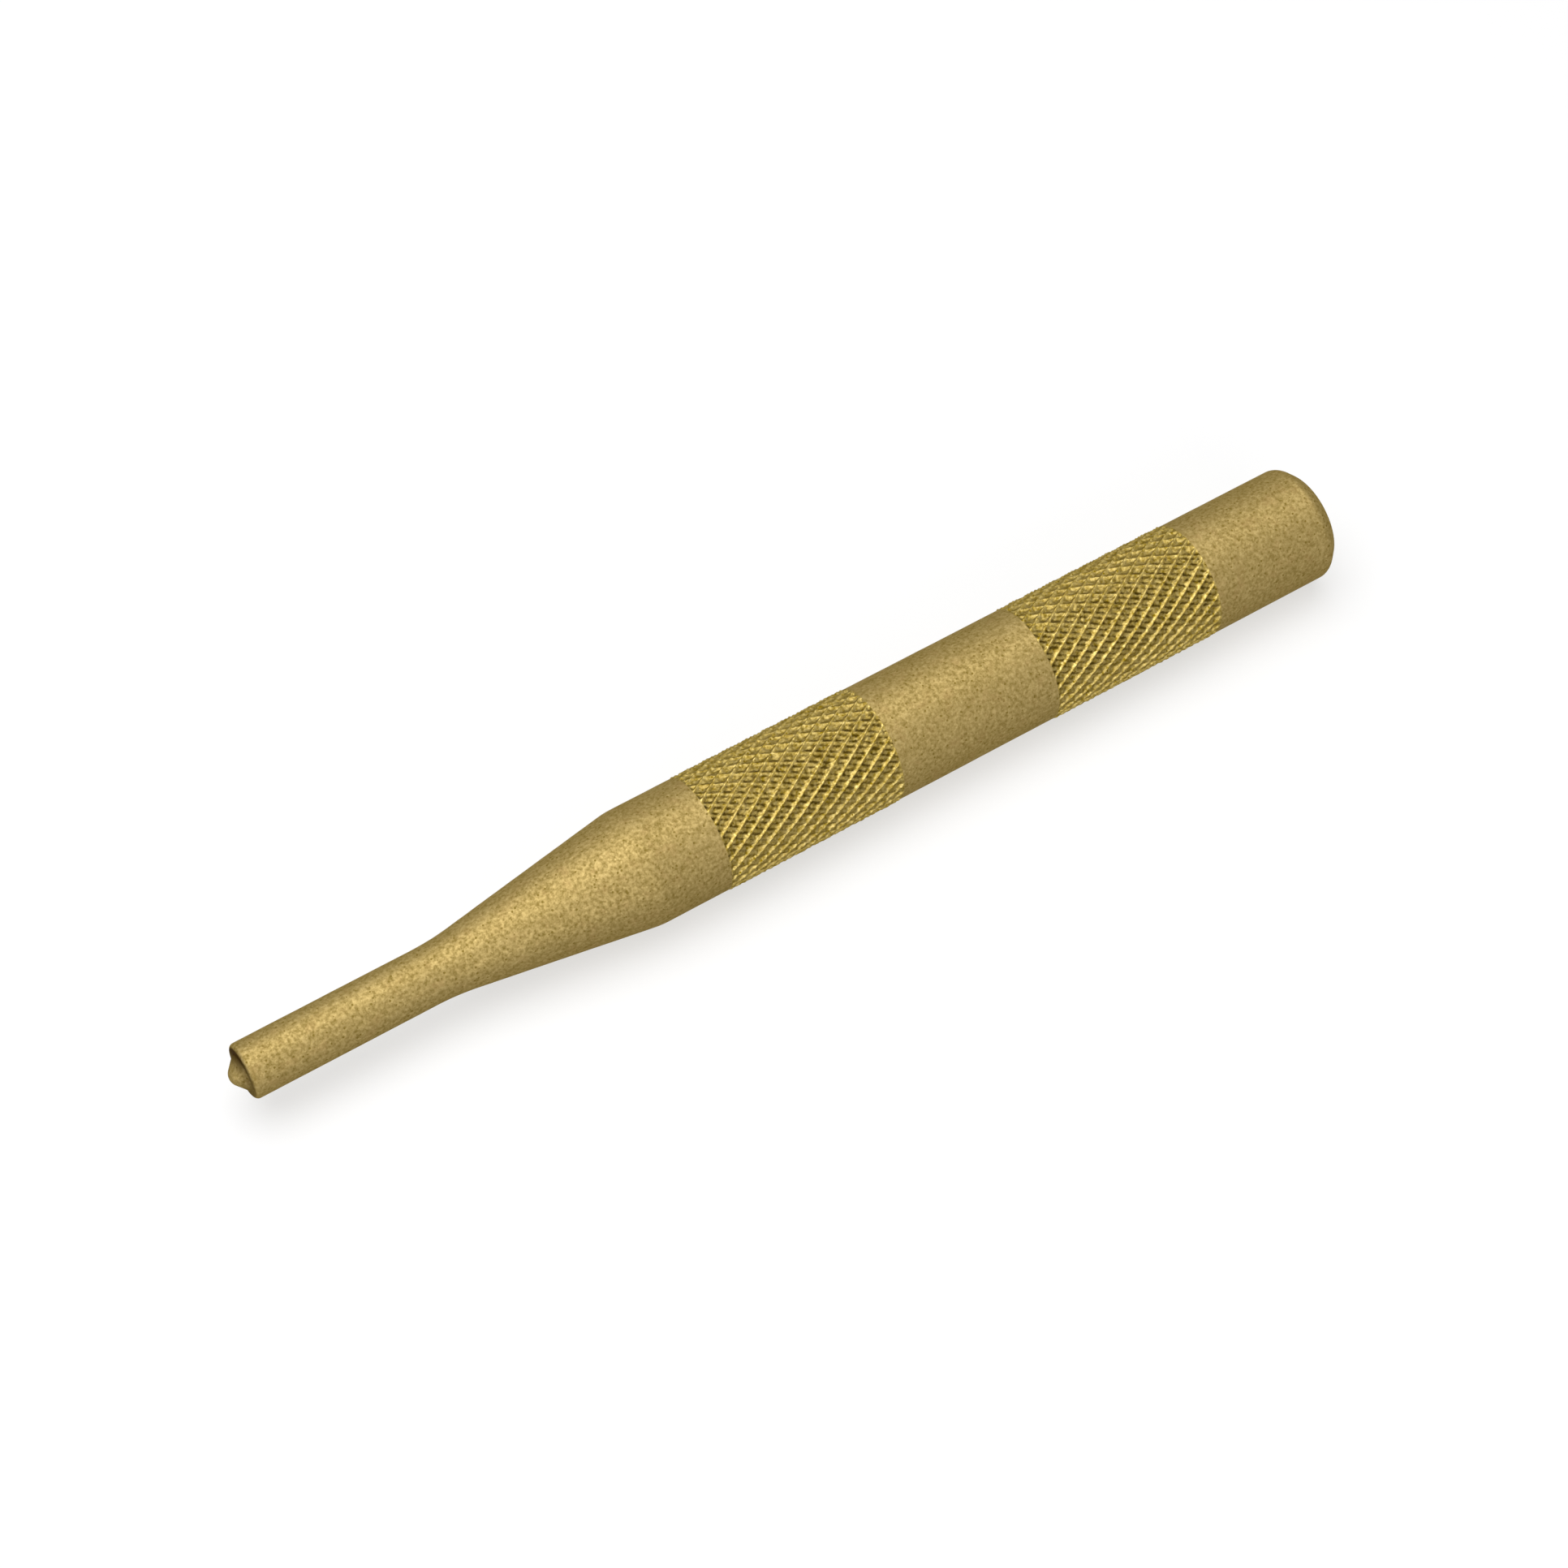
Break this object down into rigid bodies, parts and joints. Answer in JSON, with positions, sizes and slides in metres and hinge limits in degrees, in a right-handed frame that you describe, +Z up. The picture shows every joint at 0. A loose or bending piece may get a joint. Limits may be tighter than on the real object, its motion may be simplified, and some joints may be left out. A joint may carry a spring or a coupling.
{
  "type": "pilot punch",
  "caption": "Solid turned brass pilot punch: rounded pilot nub on a slim driving shank, conical taper, diamond-knurled grip bands and a bevelled striking head, for driving roll pins.",
  "frame": {"origin": "under the middle of the length, on the surface that the punch lies on", "axes": "+X along the bar from the driving end to the struck end, +Z up from the surface"},
  "size_m": [0.1306, 0.013, 0.0129],
  "materials": {
    "blasted_brass": "fine blasted and tumbled, matt olive gold with dark pits and small bright grains",
    "knurled_brass": "rolled diamond knurl, brighter on the ridges and dark in the pits"
  },
  "bodies": {
    "root": {"pilot_tip": "blasted_brass", "drive_shank": "blasted_brass", "taper": "blasted_brass", "front_collar": "blasted_brass", "front_knurl": "knurled_brass", "centre_band": "blasted_brass", "rear_knurl": "knurled_brass", "striking_head": "blasted_brass"}
  },
  "joints": []
}
